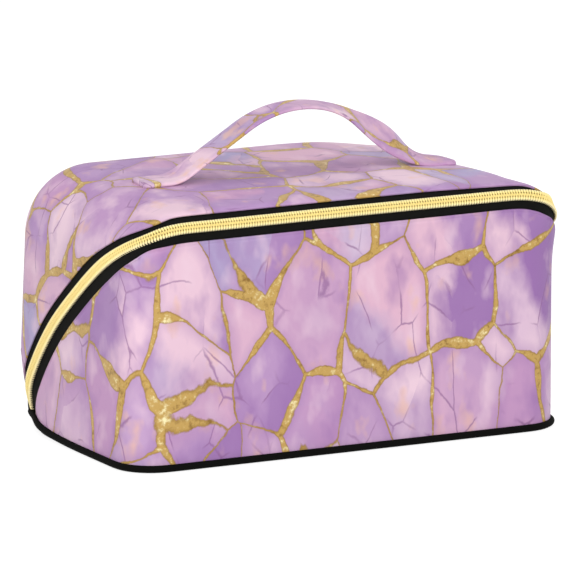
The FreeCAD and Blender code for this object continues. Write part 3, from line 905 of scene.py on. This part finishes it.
def strap_line(count):
    """Middle line of the strap, with flat feet on the lid and a round crown, and 1 on its feet."""
    sine, cosine = math.sin(STRAP_SLOPE), math.cos(STRAP_SLOPE)
    legs = 2 * STRAP_HIGH.x - sum(STRAP_FEET) - (sum(STRAP_FOOT_BENDS) + 2 * STRAP_CROWN_BEND) * sine
    uneven = (STRAP_FOOT_BENDS[1] - STRAP_FOOT_BENDS[0]) * (1 - cosine) / sine
    left_leg, right_leg = (legs / cosine + uneven) / 2, (legs / cosine - uneven) / 2
    parts = ((STRAP_FEET[0], 0.0), (STRAP_FOOT_BENDS[0] * STRAP_SLOPE, STRAP_SLOPE), (left_leg, 0.0),
             (2 * STRAP_CROWN_BEND * STRAP_SLOPE, -2 * STRAP_SLOPE), (right_leg, 0.0),
             (STRAP_FOOT_BENDS[1] * STRAP_SLOPE, STRAP_SLOPE), (STRAP_FEET[1], 0.0))
    x, z, heading = -STRAP_HIGH.x, STRAP_LOW.z + STRAP_THICK / 2, 0.0
    line = [(x, z)]
    steps = 60
    for length, turn in parts:
        for _ in range(steps):
            heading += turn / steps / 2
            x += length / steps * math.cos(heading)
            z += length / steps * math.sin(heading)
            heading += turn / steps / 2
            line.append((x, z))
    middle = (STRAP_LOW.y + STRAP_HIGH.y) / 2
    points = np.array([(x, middle, z) for x, z in line])
    start = points * np.array([1, 1, 0]) + np.array([0, 0, SHOULDER])
    lid = hit(lambda t: start + np.outer(t, [0, 0, 1]), len(start), 2 * TOP)[:, 2]
    low = fade(points[:, 2] - STRAP_LOW.z, *STRAP_FOOT_END)
    points[:, 2] += low * (lid - STRAP_LOW.z)
    line = resample(points, count)
    return line, np.interp(line[:, 0], points[:, 0], low)


def ribbon(name, line, across, width, thick, material, body, corners=(0.0, 0.0)):
    """A flat strip along a line, with soft edges and rounded corners at its ends.

    Across is one direction, and thick one size, for the whole line or for each of its points.
    """
    side = np.broadcast_to(across, line.shape)
    up = np.cross(tangents(line), side)
    steps = np.concatenate([[0], np.cumsum(np.linalg.norm(np.diff(line, axis=0), axis=1))])
    half = np.full(len(line), width / 2)
    for radius, distance in zip(corners, (steps, steps[-1] - steps)):
        missing = np.maximum(radius - distance, 0)
        half -= radius - np.sqrt(np.maximum(radius**2 - missing**2, 0))
    thick = np.broadcast_to(thick, half.shape)
    edge = np.minimum(thick, width / 4)
    rings = []
    for sign in (1, -1):
        for turn in np.linspace(-math.pi / 2, math.pi / 2, 7):
            aside = sign * (half - edge + edge * math.cos(turn))
            rings.append(line + side * aside[:, None] + up * (sign * thick / 2 * math.sin(turn))[:, None])
        for share in np.linspace(0.8, -0.8, 9):
            aside = sign * share * (half - edge)
            rings.append(line + side * aside[:, None] + up * (sign * thick / 2)[:, None])
    faces = tube_faces(len(line), len(rings), flip=True)
    return add_mesh(name, np.stack(rings, 1).reshape(-1, 3), faces, material, body)


def strap():
    """A flat sewn strap handle with soft edges, leaning a little on its right leg."""
    lean = math.radians(40)
    most, before, after = 0.79, 0.14, 0.11
    line, low = strap_line(260)
    share = np.linspace(0, 1, len(line))
    turn = lean * hump(share, most, np.where(share < most, before, after))[:, None]
    lid = normals(on_skin(line))
    across = unit(np.array([0.0, 1.0, 0.0]) - lid * (lid[:, 1] * low)[:, None])
    across = across * np.cos(turn) + np.cross(tangents(line), across) * np.sin(turn)
    foot = np.maximum(hump(share, 0, 0.07), hump(share, 1, 0.05))
    thick = STRAP_THICK + (STRAP_FOOT_THICK - STRAP_THICK) * foot
    piece = ribbon("strap_handle", line, across, STRAP_WIDTH, thick, STRAP_PRINT, "lid", STRAP_CORNERS)
    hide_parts("handle_cover", "handle_core")


def liners():
    """Dark lining of both halves over foam, and the lining between them."""
    columns = 150
    lower, _, _ = end_rows(PATH.strip(-LOWER_EDGE - HEM_SETBACK, -INNER), -1, columns, INNER, 4)
    upper, _, _ = end_rows(PATH.strip(UPPER_EDGE + HEM_SETBACK, -INNER), 1, columns, INNER, 4)
    first, last = PATH.points[0], PATH.points[-1]
    facing = math.atan2(first[2] - ZIP_Z, first[1] - ZIP_Y)
    turns = np.linspace(facing - math.pi, facing + SPINE_LAP, 46)
    spine = [cross_row(first, last, (math.cos(a), math.sin(a)), columns, INNER) for a in turns]
    in_lid = ("lid_lining", "lid_foam", "handle_patch_left", "handle_patch_right")
    for name, rows, body, stands_for in (
            ("tub_liner", lower, "tub", ("tub_lining", "tub_foam", "base_board")),
            ("lid_liner", upper, "hinge", in_lid),
            ("spine_liner", spine, "hinge", ("spine_lining",))):
        piece = add_grid(name, rows, LINING, body)
        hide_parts(*stands_for)


def bindings():
    """Bound edges of the padding along both sides of the zip."""
    half_width, half_height, depth = 0.0011, 0.0021, 0.0033
    profile = oval(12, half_width, half_height, -depth)
    for name, offset, body, stands_for in (
            ("tub_hem", -LOWER_EDGE - HEM_SETBACK, "tub", "tub_binding"),
            ("lid_hem_tape", UPPER_EDGE + HEM_SETBACK, "hinge", "lid_binding")):
        line = PATH.strip(offset)
        piece = sweep(name, line, PATH.side, normals(line), profile, TAPE, body)
        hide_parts(stands_for)


def holder_panel():
    """Panel of the brush holder, on the lid's back."""
    low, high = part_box("brush_panel")
    line = line_of(0.0, (low.y + high.y) / 2, np.linspace(low.z, high.z, 60))
    panel = ribbon("holder_panel", line, ALONG_X, high.x - low.x, high.y - low.y, BLACK_PU, "lid",
                   (0.008, 0.008))
    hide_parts("brush_panel")


def elastic_bands():
    """Two bands of elastic, each sewn to the panel in loops."""
    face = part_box("brush_panel")[0].y
    sheet, loops = 0.0008, 3
    share = np.linspace(0, 1, 150)
    arch = np.abs(np.sin(math.pi * loops * share)) ** 0.6
    for side in ("left", "right"):
        name = "brush_band_" + side
        low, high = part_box(name)
        depth = face - low.y - sheet
        line = line_of((low.x + high.x) / 2, face - sheet / 2 - depth * arch,
                       low.z + share * (high.z - low.z))
        band = ribbon("elastic_" + side, line, ALONG_X, high.x - low.x, sheet, ELASTIC, "lid")
        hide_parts(name)


def brush_flap():
    """Flap over the bands, which bends in to its snap, and the bar that it hangs from."""
    low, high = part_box("flap_root")
    line = line_of(0.0, np.linspace(low.y, high.y, 30), (low.z + high.z) / 2)
    root = ribbon("flap_bar", line, ALONG_X, high.x - low.x, high.z - low.z, BLACK_PU, "lid")
    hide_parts("flap_root")

    thick, under_cap = 0.0007, 0.0006
    low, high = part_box("brush_flap")
    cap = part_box("snap_cap")
    _, axis_y, axis_z = JOINTS["flap_swing"]["pos_m"]
    lip = (cap[0].y + cap[1].y) / 2 + under_cap
    z = np.linspace(axis_z, low.z, 80)
    y = axis_y + (lip - axis_y) * ease(-z, -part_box("brush_band_left")[0].z, -cap[1].z)
    line = line_of(0.0, y, z)
    flap = ribbon("brush_cover", line, -ALONG_X, high.x - low.x, thick, BLACK_PU, "flap", (0.0, 0.010))
    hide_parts("brush_flap")
    length_of(line)


def divider_outline(count, inset):
    """A point inside a divider and its edge, in Y and Z, found on the right half for both."""
    low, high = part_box("divider_left")
    middle = np.array([-(low.x + high.x) / 2, -0.015, 0.045])
    turn = full_turn(count)
    way = line_of(0.0, np.cos(turn), np.sin(turn))

    def limit(p):
        wall = np.maximum(field(p) + INNER + PAD_GAP, p[:, 1] - high.y)
        return rounded(wall, zip_offset(p) + PAD_BELOW_ZIP, PAD_CORNER)

    edge = hit(lambda t: middle + way * t[:, None], count, PAD_REACH, inset, limit)
    return middle[1:], edge[:, 1:]


def divider_pad(side, at, half, middle, outline):
    """A pad with crowned faces, swelled by a short cloth simulation."""
    core, thin, full = 0.04, 0.75, 0.92
    rings = 14
    rows = []
    for face, shares in ((-1, np.linspace(core, 1, rings)), (1, np.linspace(1, core, rings)[1:])):
        for share in shares:
            crown = half * (1 - thin * share**5) * full
            rows.append(line_of(at + face * crown, *(middle + (outline - middle) * share).T))
    faces = tube_faces(len(rows), len(outline), flip=True)
    pad = add_mesh("pad_" + side, np.concatenate(rows), faces, DIVIDER)
    swell(pad, PAD_SWELL)
    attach(pad, side + "_divider")
    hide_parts("divider_" + side)


def divider_rim(side, at, half, outline):
    """The bound edge of a pad."""
    edge = line_of(at, *np.concatenate([outline, outline[:1]]).T)
    out = np.cross(tangents(edge), ALONG_X)
    profile = oval(10, half * RIM_SHARE, RIM_HALF)
    rim = sweep("pad_rim_" + side, edge, ALONG_X, out, profile, TAPE, side + "_divider")


def dividers():
    """Two padded dividers."""
    middle, outline = divider_outline(120, PAD_SWELL)
    low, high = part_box("divider_left")
    half = (high.x - low.x) / 2
    for side, sign in (("left", -1), ("right", 1)):
        at = sign * abs(low.x + high.x) / 2
        divider_pad(side, at, half, middle, outline)
        divider_rim(side, at, half, outline)


def swell(piece, cap):
    """Swells a closed pad with a short pressure simulation; no point moves by more than the cap."""
    pressure, steps = 4.0, 20
    rest = np.array([v.co for v in piece.data.vertices])
    cloth = piece.modifiers.new("swell", "CLOTH")
    cloth.settings.use_pressure = True
    cloth.settings.uniform_pressure_force = pressure
    cloth.settings.effector_weights.gravity = 0.0
    cloth.settings.quality = 6
    for step in range(1, steps + 1):
        SCENE.frame_set(step)
    graph = bpy.context.evaluated_depsgraph_get()
    moved = np.array([v.co for v in piece.evaluated_get(graph).data.vertices])
    piece.modifiers.remove(cloth)
    shift = moved - rest
    size = np.linalg.norm(shift, axis=1, keepdims=True)
    shift *= np.minimum(1, cap / np.maximum(size, 1e-9))
    for vertex, place in zip(piece.data.vertices, rest + shift):
        vertex.co = place
    SCENE.frame_set(1)


def finish_cad_nodes():
    """Materials and eased edges for the solids that stay: metal fittings and hook strips."""
    by_slot = {"gold_metal": METAL, "hook_and_loop": HOOKS}
    slots = {part["node"]: part["material_slot"] for part in frame["record"]["subparts"]}
    for name, solid in frame["nodes"].items():
        if solid.hide_render:
            continue
        solid.data.materials.clear()
        solid.data.materials.append(by_slot[slots[name]])
        bevel = solid.modifiers.new("eased", "BEVEL")
        bevel.width = 0.0003
        bevel.segments = 3
        bevel.limit_method = "ANGLE"


def seen_share(tree):
    """1 for what the camera and reflections see, and 0 for the light that falls on the object."""
    rays = node(tree, "LightPath").outputs
    return calc(tree, "ADD", rays["Is Camera Ray"], rays["Is Glossy Ray"], clamp=True)


def backdrop():
    """White surroundings, grey as a light, and a pale floor that keeps the object's shadow."""
    world = bpy.data.worlds.new("studio")
    SCENE.world = world
    world.use_nodes = True
    tree = world.node_tree
    back = tree.nodes["Background"]
    colour = mix(tree, seen_share(tree), (0.46, 0.46, 0.465), (1.0, 1.0, 1.0))
    tree.links.new(colour, back.inputs["Color"])
    back.inputs["Strength"].default_value = 1.0

    material, tree, shader, _ = new_material("floor", Roughness=0.9, Specular_IOR_Level=0.0,
                                             Base_Color=(0.34, 0.34, 0.34, 1), Emission_Color=(1, 1, 1, 1))
    lift = calc(tree, "MULTIPLY_ADD", seen_share(tree), 0.51, 0.35)
    tree.links.new(lift, shader.inputs["Emission Strength"])
    size = 12.0
    corners = [(-size, -size, 0), (size, -size, 0), (size, size, 0), (-size, size, 0)]
    add_mesh("floor", corners, [(0, 1, 2, 3)], material)


def lights():
    """Soft studio lights, each with its place, size and power."""
    target = Vector((0, 0, TOP / 2))
    for name, place, size, power in (
            ("key", (-0.8, -1.7, 0.7), 1.5, 23.0),
            ("top", (0.1, 0.2, 2.0), 1.6, 9.0),
            ("left", (-1.9, -0.2, 0.7), 1.4, 7.5),
            ("right", (1.7, -0.6, 0.8), 1.4, 7.0)):
        light = bpy.data.lights.new(name, "AREA")
        light.size = size
        light.energy = power
        lamp = bpy.data.objects.new(name, light)
        lamp.location = place
        lamp.rotation_euler = (target - Vector(place)).to_track_quat("-Z", "Y").to_euler()
        SCENE.collection.objects.link(lamp)


# Camera, in the photograph's frame of pixels
PHOTO_WIDTH = 573.0
CAMERA_TURN = math.radians(26.19)
CAMERA_RISE = math.radians(12.21)
CAMERA_DISTANCE = 5.0
PIXELS_PER_METRE = 1919.0
PHOTO_CENTRE = (282.16, 290.65)
CAMERA_TARGET = Vector((0, 0, 0.07))


def camera():
    """A camera at the photograph's angle and distance."""
    data = bpy.data.cameras.new("camera")
    data.sensor_width = 36.0
    data.lens = data.sensor_width * PIXELS_PER_METRE * CAMERA_DISTANCE / PHOTO_WIDTH
    data.shift_x = (PHOTO_WIDTH / 2 - PHOTO_CENTRE[0]) / PHOTO_WIDTH
    data.shift_y = (PHOTO_CENTRE[1] - PHOTO_WIDTH / 2) / PHOTO_WIDTH
    data.clip_start = 0.1
    data.clip_end = 60.0
    away = Vector((-math.sin(CAMERA_TURN) * math.cos(CAMERA_RISE),
                   -math.cos(CAMERA_TURN) * math.cos(CAMERA_RISE), math.sin(CAMERA_RISE)))
    eye = bpy.data.objects.new("camera", data)
    eye.location = CAMERA_TARGET + away * CAMERA_DISTANCE
    eye.rotation_euler = (-away).to_track_quat("-Z", "Y").to_euler()
    SCENE.collection.objects.link(eye)
    SCENE.camera = eye


tub_skin()
lid_skin()
base_wrap()
welts()
zip_tapes()
coil("coil_lower", -1, "tub", "zipper_teeth_lower", 0.0, 1.0)
coil("coil_upper", 1, "hinge", "zipper_teeth_upper", 0.0, SLIDER_PLACE / len(PATH.points))
strap()
liners()
bindings()
holder_panel()
elastic_bands()
brush_flap()
dividers()
finish_cad_nodes()
backdrop()
lights()
camera()
SCENE.view_settings.view_transform = "Standard"
